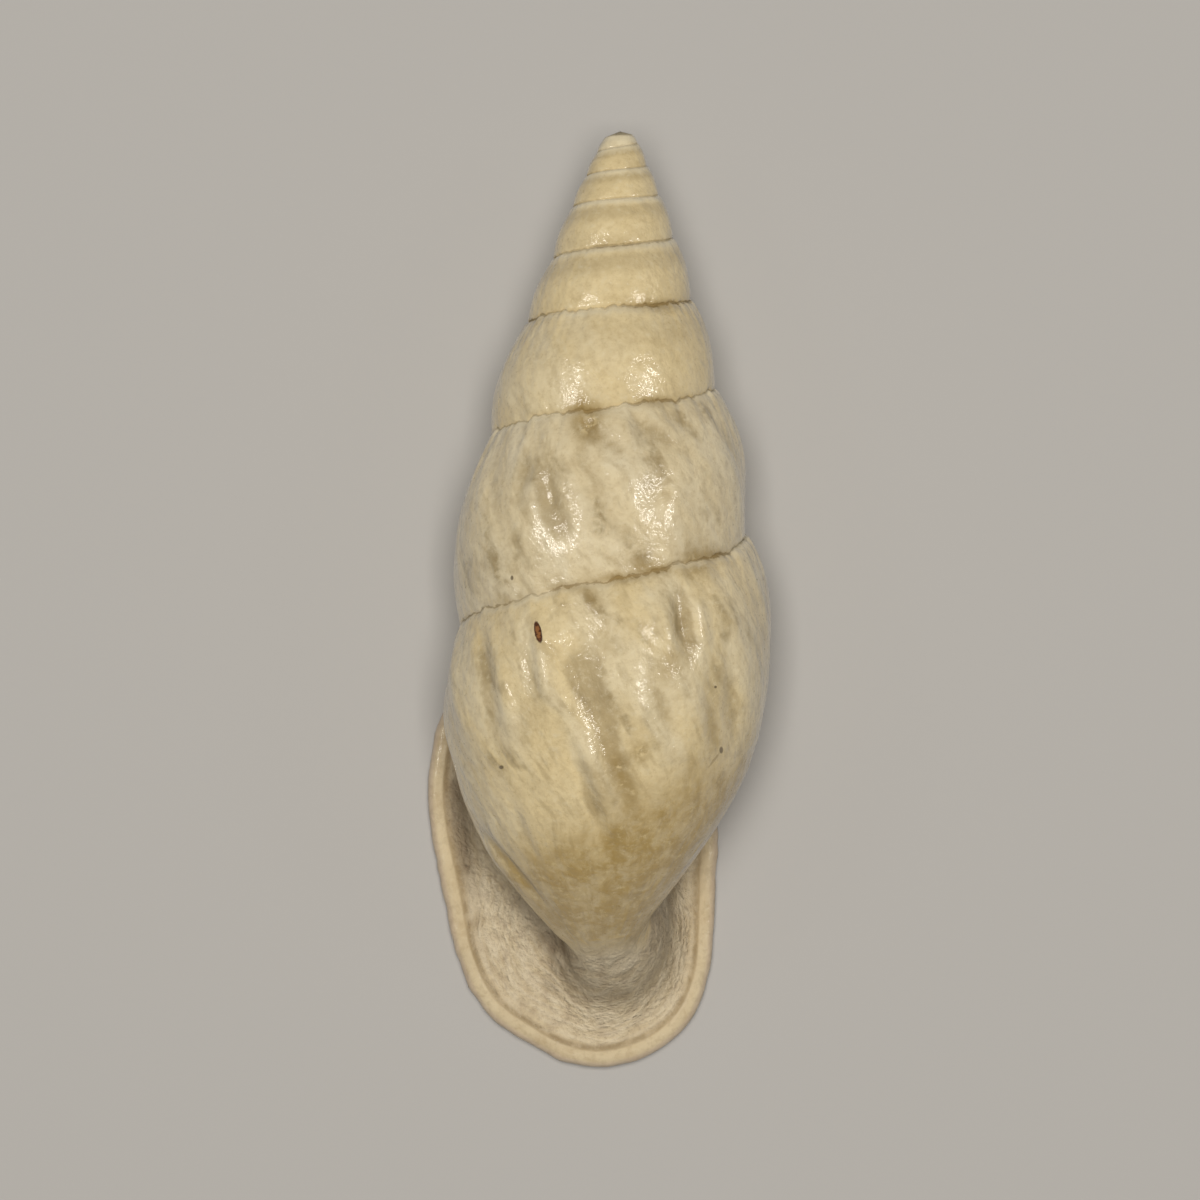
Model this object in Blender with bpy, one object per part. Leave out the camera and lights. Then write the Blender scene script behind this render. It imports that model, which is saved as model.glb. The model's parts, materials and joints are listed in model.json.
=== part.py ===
"""A tall land snail shell lying on its aperture, apex towards +Y, the floor at z = 0.

The outer wall is one strip that winds down the axis. Its upper edge is the suture line, and its
lower edge is the same line one turn later, so each whorl is stitched to the next. The last turn
runs on below that line to the neck. The flared lip is a stack of level rings from the floor up
into the left side of the last whorl. The hollow inside is one tube that follows the turns.
Lengths are in millimetres until a mesh is made.
"""
import bpy
import bmesh
import numpy as np
from mathutils import Matrix, Vector
from math import cos, sin, pi, radians

MM = 0.001

# The axis and where it lies
TIP_Y = 25.0            # the worn tip, from the middle of the shell
AXIS_HEIGHT = 8.55      # of the axis above the floor
AXIS_LEAN = [(0.0, 1.10), (6.3, 0.91), (14.3, 0.51), (21.3, 0.40), (26.5, 0.45), (45.0, 0.35)]
NECK_SINK_FROM = 37.8   # depth below the tip where the neck starts to bend to the floor
NECK_SINK = 0.048       # of the bend, per millimetre squared

# The suture line, one reading each half turn: depth below the tip and distance from the axis.
# Even readings are on the right side, odd ones on the left. The last three run on over the body.
SUTURE_FIRST_TURN = -720.0
SUTURE_DEPTH = [0.16, 0.33, 0.62, 1.15, 1.82, 2.40, 3.37, 4.06, 5.66, 6.84, 8.97, 10.26, 13.68,
                16.29, 21.58, 26.50, 32.75, 34.10, 34.40]
SUTURE_RADIUS = [0.66, 0.80, 0.96, 1.20, 1.47, 1.73, 2.15, 2.42, 2.99, 3.37, 4.10, 4.54, 5.63,
                 6.21, 7.37, 7.85, 7.88, 8.15, 8.10]
APEX_DEPTH = 0.0
END_TURN = 2034.0       # where the last whorl stops, low on the left of the hidden side
BULGE_UPPER = 0.075     # of a whorl's side, as a share of its height
BULGE_LAST = 0.10

FOLD_DEPTH = 0.11       # of the broad slanting folds on the last two and a half whorls
FOLDS_PER_TURN = 9.0
FOLD_SLANT = 34.0       # degrees that a fold moves back round on its way down a whorl
FOLDS_FROM = 1080.0

# The base of the last whorl: curve points as depth and distance from the axis, at four turns
BASE_TURNS = [1674.0, 1800.0, 1980.0, 2034.0]
BASE_SHOULDER = [(29.8, 6.3), (35.9, 7.20), (37.8, 7.37), (37.8, 7.35)]
BASE_SLOPE = [(31.8, 3.6), (40.2, 3.65), (40.75, 4.80), (40.8, 4.70)]
BASE_END = [(33.5, 1.3), (42.35, 2.05), (43.15, 2.50), (43.2, 2.40)]
NECK = [(43.80, 1.60), (44.45, 0.95)]
COLUMELLA = [(43.80, 1.10), (44.45, 0.80)]
NECK_END_DEPTH = 44.9

# The lip, seen from above: its edge, its waist and its root in the left side of the last whorl
LIP_CENTRE = (-1.5, -14.0)
LIP_EDGE = [(-8.42, -5.91), (-9.18, -8.47), (-9.35, -10.2), (-9.07, -13.3), (-8.37, -16.8),
            (-7.44, -20.3), (-6.19, -22.5), (-3.84, -24.2), (-1.83, -25.2), (0.0, -25.5),
            (1.93, -25.15), (3.6, -24.3), (5.0, -22.9), (5.8, -21.1), (6.19, -18.6), (6.35, -15.3),
            (6.46, -12.5), (6.0, -10.1), (4.9, -7.9), (2.7, -5.9), (-0.5, -4.3), (-3.8, -3.2),
            (-6.5, -3.8)]
LIP_WAIST = [(-7.55, -6.5), (-7.4, -8.8), (-7.0, -10.9), (-6.5, -13.3), (-5.5, -15.8),
             (-4.1, -17.3), (-2.7, -18.3), (-1.75, -19.7), (-0.75, -20.9), (0.5, -21.4),
             (2.1, -21.0), (3.3, -19.7), (3.7, -17.9), (3.6, -15.8), (3.0, -13.1),
             (1.65, -9.8), (-1.0, -6.6), (-4.3, -4.6), (-6.6, -4.7)]
LIP_ROOT = [(-7.75, -6.2), (-7.5, -8.6), (-6.85, -11.0), (-6.0, -13.2), (-4.6, -15.0),
            (-3.0, -16.6), (-1.95, -17.8), (-0.95, -18.5), (0.25, -18.8), (1.3, -18.4),
            (1.95, -17.4), (2.15, -15.5), (1.85, -12.6), (1.1, -9.2), (-1.0, -6.6),
            (-4.3, -5.9), (-6.9, -5.4)]
WAIST_HEIGHT = 4.4
ROOT_HEIGHT = 7.9
RIM = [(0.45, 0.0), (0.12, 0.25), (0.0, 0.70), (0.15, 1.15), (0.45, 1.38), (0.78, 1.30),
       (1.02, 1.12)]    # the rolled edge: how far in from the outline, and how high

# The hollow
MOUTH = [(-6.2, -9.0), (-6.2, -11.5), (-6.0, -14.0), (-5.4, -16.6), (-4.4, -18.9),
         (-3.0, -20.6), (-1.4, -21.6), (0.3, -21.7), (1.65, -20.7), (2.4, -18.6),
         (2.5, -15.9), (2.2, -13.4), (1.2, -10.9), (-0.6, -9.0), (-2.9, -7.6), (-4.9, -7.4)]
THROAT = [(-6.6, -7.9), (-6.4, -10.3), (-5.75, -13.0), (-4.7, -15.0), (-3.5, -16.3),
          (-2.0, -17.4), (-0.9, -18.9), (0.4, -19.2), (1.1, -17.9), (1.2, -15.1),
          (0.7, -12.4), (-0.5, -9.8), (-2.2, -7.9), (-4.3, -6.4), (-5.9, -6.2)]
MOUTH_CENTRE = (-2.2, -14.5)
THROAT_RINGS = [(1.5, 0.45), (2.4, 0.85), (WAIST_HEIGHT, 1.0)]  # height, share from the mouth
WALL = 0.75
PILLAR = 1.15           # radius of the columella in the last whorl
HOLLOW_FROM = 330.0     # turns above this are too narrow to stay open
SEPTUM_SLOPE = 0.6      # of the wall between two turns, down towards the columella
SEPTUM_HALF = 0.6       # of that wall, as a share of the outer wall
BASE_EXTRA = 0.3        # more wall at the base
LAST_WIDTH = 8.45       # outer radius that the last turn's hollow is taken from

# The teeth inside the lip: centre, half sizes and lean about the vertical in degrees
TEETH = {
    "parietal": ((-3.0, -8.1, 1.9), (0.50, 1.10, 1.5), -30.0),
    "columellar": ((2.1, -15.4, 1.7), (1.45, 0.55, 1.0), 20.0),
    "upper palatal": ((-5.95, -11.6, 1.7), (1.05, 0.48, 1.0), 8.0),
    "lower palatal": ((-5.25, -16.2, 1.6), (1.05, 0.48, 0.9), -22.0),
    "basal": ((-1.1, -20.9, 1.25), (0.45, 0.95, 0.65), -8.0),
}

# Mesh steps
STEPS_PER_TURN = 40
WHORL_ROWS = 6
BASE_ROWS = 6
LIP_SIDES = 48
HOLLOW_STEP = 24.0
HOLLOW_SIDES = 18
SECTION_ROWS = 24


def curve(xs, ys, x):
    """A smooth curve through the readings, read at x."""
    xs = np.asarray(xs, float)
    ys = np.asarray(ys, float)
    slopes = np.gradient(ys, xs)
    i = int(np.clip(np.searchsorted(xs, x) - 1, 0, len(xs) - 2))
    h = xs[i + 1] - xs[i]
    t = np.clip((x - xs[i]) / h, 0.0, 1.0)
    return ((1 + 2 * t) * (1 - t) ** 2 * ys[i] + t * (1 - t) ** 2 * h * slopes[i]
            + t * t * (3 - 2 * t) * ys[i + 1] + t * t * (t - 1) * h * slopes[i + 1])


def smooth_step(t):
    """A share from 0 to 1 with level ends."""
    t = min(max(t, 0.0), 1.0)
    return t * t * (3 - 2 * t)


SUTURE_TURNS = [SUTURE_FIRST_TURN + 180.0 * k for k in range(len(SUTURE_DEPTH))]


def suture(turn):
    """Depth and radius of the suture line at a turn in degrees."""
    return curve(SUTURE_TURNS, SUTURE_DEPTH, turn), curve(SUTURE_TURNS, SUTURE_RADIUS, turn)


def place(turn, depth, radius):
    """A point of the shell from its turn, depth below the tip and distance from the axis."""
    lean = curve(*zip(*AXIS_LEAN), depth)
    sink = NECK_SINK * max(0.0, depth - NECK_SINK_FROM) ** 2
    a = radians(turn)
    return (lean + radius * cos(a), TIP_Y - depth, AXIS_HEIGHT - sink + radius * sin(a))


def whorl_side(turn, rows):
    """Depth and radius down a whorl's side, from its suture to the next one.

    The side swells more, and nearer its suture, on the right of the shell than on the left.
    """
    top = suture(turn)
    low = suture(turn + 360.0)
    late = smooth_step((turn - 700.0) / 700.0)
    bulge = BULGE_UPPER + (BULGE_LAST - BULGE_UPPER) * late
    right = 0.5 + 0.5 * cos(radians(turn))
    fullness = 1.0 - 0.25 * smooth_step((turn - 1440.0) / 300.0) * right
    droop = 1.0 - 0.2 * right
    side = []
    for row in range(rows + 1):
        v = row / rows
        swell = max(sin(pi * v ** droop), 0.0) ** fullness * bulge * (low[0] - top[0])
        side.append((top[0] + (low[0] - top[0]) * v, top[1] + (low[1] - top[1]) * v + swell))
    return side


def base_side(turn, rows):
    """Depth and radius on below the side of the last whorl, to the neck or the columella."""
    t = turn
    if t < BASE_TURNS[1]:
        t = BASE_TURNS[0] + (BASE_TURNS[1] - BASE_TURNS[0]) * smooth_step(
            (t - BASE_TURNS[0]) / (BASE_TURNS[1] - BASE_TURNS[0]))
    points = [suture(turn + 360.0)]
    for table in (BASE_SHOULDER, BASE_SLOPE, BASE_END):
        points.append([np.interp(t, BASE_TURNS, [p[c] for p in table]) for c in (0, 1)])
    side = []
    for row in range(1, rows + 1):
        q = row / rows
        weights = ((1 - q) ** 3, 3 * q * (1 - q) ** 2, 3 * q * q * (1 - q), q ** 3)
        side.append(tuple(sum(w * p[c] for w, p in zip(weights, points)) for c in (0, 1)))
    share = smooth_step((turn - BASE_TURNS[0]) / (BASE_TURNS[1] - BASE_TURNS[0]))
    for thin, full in zip(COLUMELLA, NECK):
        side.append((full[0], thin[1] + (full[1] - thin[1]) * share))
    return side


def fold(turn, row_share):
    """How far the slanting folds raise or lower the wall at a turn and a share down the side."""
    grown = smooth_step((turn - FOLDS_FROM) / 500.0)
    phase = radians((turn + FOLD_SLANT * row_share) * FOLDS_PER_TURN)
    wave = sin(phase) + 0.55 * sin(1.62 * phase + 1.3) + 0.4 * sin(0.47 * phase + 2.1)
    fade = sin(pi * min(row_share, 1.0)) ** 0.6 if row_share < 1.0 else 0.0
    return FOLD_DEPTH * grown * wave * fade * 0.6


def mesh_object(name, verts, faces):
    """An object from points in millimetres, with its faces turned outwards."""
    mesh = bpy.data.meshes.new(name)
    mesh.from_pydata([tuple(c * MM for c in v) for v in verts], [], faces)
    bm = bmesh.new()
    bm.from_mesh(mesh)
    bmesh.ops.triangulate(bm, faces=[f for f in bm.faces if len(f.verts) > 4])
    bmesh.ops.recalc_face_normals(bm, faces=bm.faces)
    bm.to_mesh(mesh)
    bm.free()
    obj = bpy.data.objects.new(name, mesh)
    bpy.context.scene.collection.objects.link(obj)
    return obj


def coil():
    """The wound outer wall as one closed solid, with a flat end where the whorl stops."""
    step = 360.0 / STEPS_PER_TURN
    first = SUTURE_FIRST_TURN
    count = round((END_TURN - first) / step)
    verts = []
    grid = []
    for i in range(count + 1):
        turn = first + i * step
        last_turn = i >= count - STEPS_PER_TURN
        side = whorl_side(turn, WHORL_ROWS)
        if last_turn:
            side += base_side(turn, BASE_ROWS)
        else:
            side.pop()
        grid.append([])
        for row, (depth, radius) in enumerate(side):
            share = row / (len(side) - len(NECK) if last_turn else WHORL_ROWS)
            grid[i].append(len(verts))
            verts.append(place(turn, depth, radius + fold(turn, share)))
    for i in range(count - STEPS_PER_TURN):
        grid[i].append(grid[i + STEPS_PER_TURN][0])
    joined = count - STEPS_PER_TURN
    apex = len(verts)
    verts.append(place(0.0, APEX_DEPTH, 0.0))
    pole = len(verts)
    verts.append(place(0.0, NECK_END_DEPTH, 0.0))

    # the last wall's first point is the one where its line leaves the wall a turn above
    spare = grid[joined][WHORL_ROWS]
    grid[joined][WHORL_ROWS] = grid[count][0]

    faces = []
    for i in range(count):
        rows = min(len(grid[i]), len(grid[i + 1])) - 1
        for j in range(rows):
            faces.append((grid[i][j], grid[i][j + 1], grid[i + 1][j + 1], grid[i + 1][j]))
        if i >= joined:
            faces.append((grid[i][-1], pole, grid[i + 1][-1]))
    for i in range(STEPS_PER_TURN):
        faces.append((apex, grid[i][0], grid[i + 1][0]))
    faces.append((apex, *reversed(grid[0][:WHORL_ROWS + 1])))
    inner = grid[joined][WHORL_ROWS:]
    faces.append((*grid[count], pole, *reversed(inner[1:])))
    del verts[spare]
    faces = [tuple(v - (v > spare) for v in face) for face in faces]
    return mesh_object("coil", verts, faces)


def outline(points, centre, sides):
    """Points of a closed outline at even angles about a centre, clockwise from the left."""
    offsets = np.asarray(points) - centre
    angles = np.degrees(np.arctan2(-offsets[:, 1], -offsets[:, 0])) % 360.0
    order = np.argsort(angles)
    angles = angles[order]
    reach = np.hypot(*offsets[order].T)
    angles = np.concatenate((angles[-3:] - 360.0, angles, angles[:3] + 360.0))
    reach = np.concatenate((reach[-3:], reach, reach[:3]))
    ring = []
    for k in range(sides):
        a = 360.0 * k / sides
        r = curve(angles, reach, a)
        ring.append((centre[0] - r * cos(radians(a)), centre[1] - r * sin(radians(a))))
    return np.array(ring)


def inset(ring, distance):
    """The same ring moved inwards along its own normals."""
    ahead = np.roll(ring, -1, axis=0) - np.roll(ring, 1, axis=0)
    normal = np.stack((-ahead[:, 1], ahead[:, 0]), axis=1)
    normal /= np.linalg.norm(normal, axis=1)[:, None]
    return ring + normal * distance


def level(ring, height):
    """The ring's points at one height."""
    return [(x, y, height) for x, y in ring]


def lofted(name, rings):
    """A closed solid through rings with the same number of points."""
    sides = len(rings[0])
    verts = [v for ring in rings for v in ring]
    faces = []
    for r in range(len(rings) - 1):
        for k in range(sides):
            a = r * sides + k
            b = r * sides + (k + 1) % sides
            faces.append((a, b, b + sides, a + sides))
    faces.append(tuple(range(sides)))
    faces.append(tuple((len(rings) - 1) * sides + k for k in range(sides)))
    return mesh_object(name, verts, faces)


def lip():
    """The flared lip: flat face, rolled edge, hollow back, and a root inside the last whorl."""
    edge = outline(LIP_EDGE, LIP_CENTRE, LIP_SIDES)
    waist = outline(LIP_WAIST, LIP_CENTRE, LIP_SIDES)
    root = outline(LIP_ROOT, LIP_CENTRE, LIP_SIDES)
    rings = [level(inset(edge, inwards), height) for inwards, height in RIM]
    groove = inset(edge, RIM[-1][0])
    for angle in (72, 54, 36, 18):
        out = 1 - cos(radians(angle))
        height = WAIST_HEIGHT - (WAIST_HEIGHT - RIM[-1][1]) * sin(radians(angle))
        rings.append(level(waist + (groove - waist) * out, height))
    for share in (0.0, 0.33, 0.67, 1.0):
        height = WAIST_HEIGHT + (ROOT_HEIGHT - WAIST_HEIGHT) * share
        rings.append(level(waist + (root - waist) * smooth_step(share), height))
    return lofted("lip", rings)


def hollow_section(turn):
    """The hollow across one turn: depth and radius of its points.

    Its roof is the floor of the turn above, and both slope down towards the columella. In the
    last turn its floor follows the base of the shell instead.
    """
    d_up, r_up = suture(turn)
    side = whorl_side(turn, SECTION_ROWS)
    wall = min(WALL, 0.16 * r_up + 0.1)
    pillar = min(PILLAR, 0.2 * r_up)
    last = turn >= BASE_TURNS[0]
    widest = LAST_WIDTH if last else max(r for d, r in side)
    middle = (widest - wall + pillar) / 2
    half = (widest - wall - pillar) / 2
    base = side[SECTION_ROWS * 2 // 3:] + base_side(turn, SECTION_ROWS)[:SECTION_ROWS]
    base_radii = [-r for d, r in base]
    base_depths = [d for d, r in base]
    section = []
    for k in range(HOLLOW_SIDES):
        a = 2 * pi * k / HOLLOW_SIDES
        r = middle + half * cos(a)
        roof = d_up + SEPTUM_SLOPE * (r_up - r) + wall * SEPTUM_HALF
        if last:
            floor = np.interp(-(r + wall), base_radii, base_depths) - BASE_EXTRA
        else:
            d_low, r_low = suture(turn + 360.0)
            floor = d_low + SEPTUM_SLOPE * (r_low - r) - wall * SEPTUM_HALF
        depth = (roof + floor) / 2 + (floor - roof) / 2 * sin(a)
        section.append((depth, r))
    return section


def hollow():
    """The cutter for the inside: the mouth, the throat and the turns above them."""
    mouth = outline(MOUTH, MOUTH_CENTRE, HOLLOW_SIDES)
    throat = outline(THROAT, MOUTH_CENTRE, HOLLOW_SIDES)
    rings = [level(inset(mouth, -1.1), -0.6), level(inset(mouth, -0.95), -0.02),
             level(inset(mouth, -0.35), 0.30), level(mouth, 0.95)]
    for height, share in THROAT_RINGS:
        rings.append(level(mouth + (throat - mouth) * share, height))
    turn = 1980.0
    start = np.array([place(turn, d, r) for d, r in hollow_section(turn)])
    for share in (0.33, 0.67):
        height = WAIST_HEIGHT + (AXIS_HEIGHT - WAIST_HEIGHT) * share
        blend = throat + (start[:, :2] - throat) * smooth_step(share)
        rings.append(level(blend, height))
    while turn >= HOLLOW_FROM:
        rings.append([place(turn, d, r) for d, r in hollow_section(turn)])
        turn -= HOLLOW_STEP
    cutter = lofted("hollow", rings)
    cutter.hide_render = True
    cutter.display_type = "WIRE"
    return cutter


def tooth(name, centre, half_sizes, lean):
    """One low ridge inside the mouth, half sunk in the wall."""
    mesh = bpy.data.meshes.new(name)
    bm = bmesh.new()
    bmesh.ops.create_icosphere(bm, subdivisions=2, radius=MM)
    turn = Matrix.Rotation(radians(lean), 4, "Z")
    bm.transform(Matrix.Translation(Vector(centre) * MM) @ turn @ Matrix.Diagonal((*half_sizes, 1.0)))
    bm.to_mesh(mesh)
    bm.free()
    obj = bpy.data.objects.new(name, mesh)
    bpy.context.scene.collection.objects.link(obj)
    return obj


def material():
    """Glossy cream calcium carbonate."""
    mat = bpy.data.materials.new("glossy cream shell")
    mat.use_nodes = True
    shader = mat.node_tree.nodes["Principled BSDF"]
    shader.inputs["Base Color"].default_value = (0.55, 0.45, 0.28, 1.0)
    shader.inputs["Roughness"].default_value = 0.3
    shader.inputs["Metallic"].default_value = 0.0
    return mat


def combine(target, other, operation):
    """Join or cut the shell with a hidden helper solid."""
    cut = target.modifiers.new(other.name, "BOOLEAN")
    cut.operation = operation
    cut.solver = "EXACT"
    cut.object = other
    other.hide_render = True
    other.display_type = "WIRE"


def main():
    for old in list(bpy.data.objects):
        bpy.data.objects.remove(old, do_unlink=True)
    shell = coil()
    shell.name = "shell"
    shell.data.materials.append(material())
    combine(shell, lip(), "UNION")
    combine(shell, hollow(), "DIFFERENCE")
    for name, (centre, half_sizes, lean) in TEETH.items():
        combine(shell, tooth(name, centre, half_sizes, lean), "UNION")


main()
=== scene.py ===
import json
import bpy
import bmesh
import numpy as np
from math import radians
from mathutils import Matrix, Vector
from mathutils.kdtree import KDTree

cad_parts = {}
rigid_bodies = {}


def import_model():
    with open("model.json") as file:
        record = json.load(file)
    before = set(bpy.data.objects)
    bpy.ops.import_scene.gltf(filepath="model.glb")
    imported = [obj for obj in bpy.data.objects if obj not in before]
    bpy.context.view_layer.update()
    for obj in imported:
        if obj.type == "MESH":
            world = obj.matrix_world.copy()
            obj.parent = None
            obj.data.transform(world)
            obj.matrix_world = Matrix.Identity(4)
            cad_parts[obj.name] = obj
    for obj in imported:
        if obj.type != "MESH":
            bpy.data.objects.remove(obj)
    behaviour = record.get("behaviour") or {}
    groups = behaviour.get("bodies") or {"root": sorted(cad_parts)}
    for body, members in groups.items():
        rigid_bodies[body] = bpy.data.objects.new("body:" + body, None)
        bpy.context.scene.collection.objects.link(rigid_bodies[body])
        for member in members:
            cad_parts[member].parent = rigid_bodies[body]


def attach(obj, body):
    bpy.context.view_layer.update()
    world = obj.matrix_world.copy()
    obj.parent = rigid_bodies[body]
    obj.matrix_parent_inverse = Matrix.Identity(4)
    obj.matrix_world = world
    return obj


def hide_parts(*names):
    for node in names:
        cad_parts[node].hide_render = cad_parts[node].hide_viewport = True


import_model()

bpy.ops.object.select_all(action="DESELECT")
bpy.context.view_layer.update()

# Camera. The shell lies on its aperture and is seen from straight above, from hand's reach,
# with its apex at the top of the picture. The view is 64 mm wide where the shell's axis lies.
SENSOR_WIDTH = 36.0
VIEW_DISTANCE = 0.400
VIEW_WIDTH = 0.0641
CAMERA_AT = (0.00003, -0.00003, 0.40855)
camera_data = bpy.data.cameras.new("camera")
camera_data.sensor_width = SENSOR_WIDTH
camera_data.lens = SENSOR_WIDTH * VIEW_DISTANCE / VIEW_WIDTH
camera = bpy.data.objects.new("camera", camera_data)
camera.location = CAMERA_AT
bpy.context.scene.collection.objects.link(camera)
bpy.context.scene.camera = camera

# The wound wall. A land snail lays down one strip of shell that winds round its axis. Each turn
# sticks to the one above along the suture, and below the last turn the strip runs on to the neck.
# All lengths up to the finished mesh are in millimetres, and turns are in degrees.
TIP_Y = 25.0
AXIS_HEIGHT = 8.55
# the axis leans a little: depth below the tip, and how far the axis lies to the right there
AXIS_LEAN = [(0.0, 1.10), (6.3, 0.91), (14.3, 0.51), (21.3, 0.40), (26.5, 0.45), (45.0, 0.35)]
NECK_SINK_FROM = 37.8   # below this depth the axis bends down, by so much per square millimetre
NECK_SINK = 0.048
FIRST_TURN = -720.0
LAST_TURN = 2034.0
THROAT_TURN = 1980.0    # here the throat opens out of the wound tube
# the suture line at every half turn: depth below the tip, and distance from the axis
SUTURE_DEPTH = [0.16, 0.33, 0.62, 1.15, 1.82, 2.40, 3.37, 4.06, 5.66, 6.84, 8.97, 10.26, 13.68,
                16.29, 21.58, 26.50, 32.75, 34.10, 34.40]
SUTURE_RADIUS = [0.66, 0.80, 0.96, 1.20, 1.47, 1.73, 2.15, 2.42, 2.99, 3.37, 4.10, 4.54, 5.63,
                 6.21, 7.37, 7.85, 7.88, 8.15, 8.10]
SUTURE_TURNS = FIRST_TURN + 180.0 * np.arange(len(SUTURE_DEPTH))
# the base below the last whorl's side: depth and radius of its bends at four turns
BASE_FROM = 1674.0
BASE_FULL = 1800.0
BASE_TURNS = [BASE_FROM, BASE_FULL, THROAT_TURN, LAST_TURN]
BASE_SHOULDER = [(29.8, 6.3), (35.9, 7.20), (37.8, 7.37), (37.8, 7.35)]
BASE_SLOPE = [(31.8, 3.6), (40.2, 3.65), (40.75, 4.80), (40.8, 4.70)]
BASE_END = [(33.5, 1.3), (42.35, 2.05), (43.15, 2.50), (43.2, 2.40)]
NECK = [(43.80, 1.60), (44.45, 0.95)]   # depth and radius
PILLAR_RADIUS = [1.10, 0.80]        # where the neck hides it, at the same depths
NECK_END_DEPTH = 44.9
SLANT = 34.0            # degrees that a growth line moves back on its way down a whorl
SWELL = 0.075           # how far a side bulges, as a share of its height, and what age adds
SWELL_WITH_AGE = 0.025
SUTURE_STRAY = 0.15     # how far the suture line strays, in millimetres
FOLDS_IN_A_TURN = 9.0
FOLD_HEIGHT = 0.075
PLEAT_HEIGHT = 0.045
WELT = 0.12             # the raised margin below the suture, as a share of the groove's depth
STEPS = 240             # mesh columns in a turn
SIDE_ROWS = 24
EVEN_ROWS = 0.22        # share of the rows that is even; the rest crowds towards the sutures
BASE_ROWS = 52


def through(xs, ys, x):
    """A smooth curve through the readings, read at x."""
    xs = np.asarray(xs, float)
    ys = np.asarray(ys, float)
    x = np.asarray(x, float)
    slopes = np.gradient(ys, xs)
    i = np.clip(np.searchsorted(xs, x) - 1, 0, len(xs) - 2)
    h = xs[i + 1] - xs[i]
    t = np.clip((x - xs[i]) / h, 0.0, 1.0)
    return ((1 + 2 * t) * (1 - t) ** 2 * ys[i] + t * (1 - t) ** 2 * h * slopes[i]
            + t * t * (3 - 2 * t) * ys[i + 1] + t * t * (t - 1) * h * slopes[i + 1])


def ease(t):
    """A share from 0 to 1 with level ends."""
    t = np.clip(t, 0.0, 1.0)
    return t * t * (3 - 2 * t)


def suture(turn):
    """Depth below the tip and distance from the axis of the suture line."""
    return through(SUTURE_TURNS, SUTURE_DEPTH, turn), through(SUTURE_TURNS, SUTURE_RADIUS, turn)


def waver(turn):
    """How far the suture line strays down from its smooth run: more on the later whorls."""
    grown = ease((turn - 500.0) / 1200.0)
    grown *= 1.0 - ease((turn - THROAT_TURN) / (LAST_TURN - THROAT_TURN))
    t = np.radians(turn)
    line = (0.45 * np.sin(7.3 * t + 0.4) + 0.3 * np.sin(17.1 * t + 2.0)
            + 0.30 * np.sin(29.7 * t + 1.1) + 0.26 * np.sin(47.3 * t + 1.5 * np.sin(5.1 * t))
            + 0.20 * np.sin(73.0 * t + 2.0 * np.sin(7.9 * t)))
    return SUTURE_STRAY * grown * line


def side_of(turn, v):
    """Depth and radius on a whorl's side, v from 0 at its suture to 1 at the next one."""
    top_d, top_r = suture(turn)
    low_d, low_r = suture(turn + 360.0)
    late = ease((turn - 700.0) / 700.0)
    right = 0.5 + 0.5 * np.cos(np.radians(turn))
    fullness = 1.0 - 0.25 * ease((turn - 1440.0) / 300.0) * right
    arch = np.maximum(np.sin(np.pi * v ** (1.0 - 0.2 * right)), 0.0) ** fullness
    swell = arch * (SWELL + SWELL_WITH_AGE * late) * (low_d - top_d)
    top_d = top_d + waver(turn)
    low_d = low_d + waver(turn + 360.0)
    return top_d + (low_d - top_d) * v, top_r + (low_r - top_r) * v + swell


def base_grown(turn):
    """How far the base has opened out, from 0 to 1."""
    return ease((turn - BASE_FROM) / (BASE_FULL - BASE_FROM))


def base_of(turn, q):
    """Depth and radius below the last whorl's side, q from 0 at the shoulder to 1 at the neck."""
    opening = BASE_FROM + (BASE_FULL - BASE_FROM) * base_grown(turn)
    t = np.where(turn < BASE_FULL, opening, turn)
    points = [suture(turn + 360.0)]
    for table in (BASE_SHOULDER, BASE_SLOPE, BASE_END):
        points.append([np.interp(t, BASE_TURNS, [p[c] for p in table]) for c in (0, 1)])
    weights = ((1 - q) ** 3, 3 * q * (1 - q) ** 2, 3 * q * q * (1 - q), q ** 3)
    return [sum(w * p[c] for w, p in zip(weights, points)) for c in (0, 1)]


def axis_at(depth):
    """Where the axis runs at a depth below the tip: sideways, and its height."""
    sink = NECK_SINK * np.maximum(0.0, depth - NECK_SINK_FROM) ** 2
    return through(*zip(*AXIS_LEAN), depth), AXIS_HEIGHT - sink


def place(turn, depth, radius):
    """Points of the shell from turn, depth and distance from the axis."""
    axis_x, axis_z = axis_at(depth)
    a = np.radians(turn)
    return np.stack(np.broadcast_arrays(axis_x + radius * np.cos(a), TIP_Y - depth,
                                        axis_z + radius * np.sin(a)), axis=-1)


def folds(turn, v):
    """The broad slanting folds of the last two and a half whorls, and the finer pleats that hang
    from their sutures, in millimetres outwards."""
    grown = ease((turn - 1080.0) / 500.0)
    phase = np.radians((turn + SLANT * v) * FOLDS_IN_A_TURN)
    wave = np.sin(phase) + 0.55 * np.sin(1.62 * phase + 1.3) + 0.4 * np.sin(0.47 * phase + 2.1)
    fine = (np.sin(2.7 * phase + 0.6 * np.sin(2.1 * v * np.pi) + 0.3)
            + 0.5 * np.sin(4.3 * phase + 0.9 * np.sin(1.7 * v * np.pi + 1.0)))
    off_sutures = np.maximum(np.sin(np.pi * np.clip(v, 0.0, 1.0)), 0.0) ** 0.6
    hanging = 0.3 + 0.7 * np.exp(-(v / 0.42) ** 2)
    return grown * off_sutures * (FOLD_HEIGHT * wave + PLEAT_HEIGHT * hanging * fine)


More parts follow.
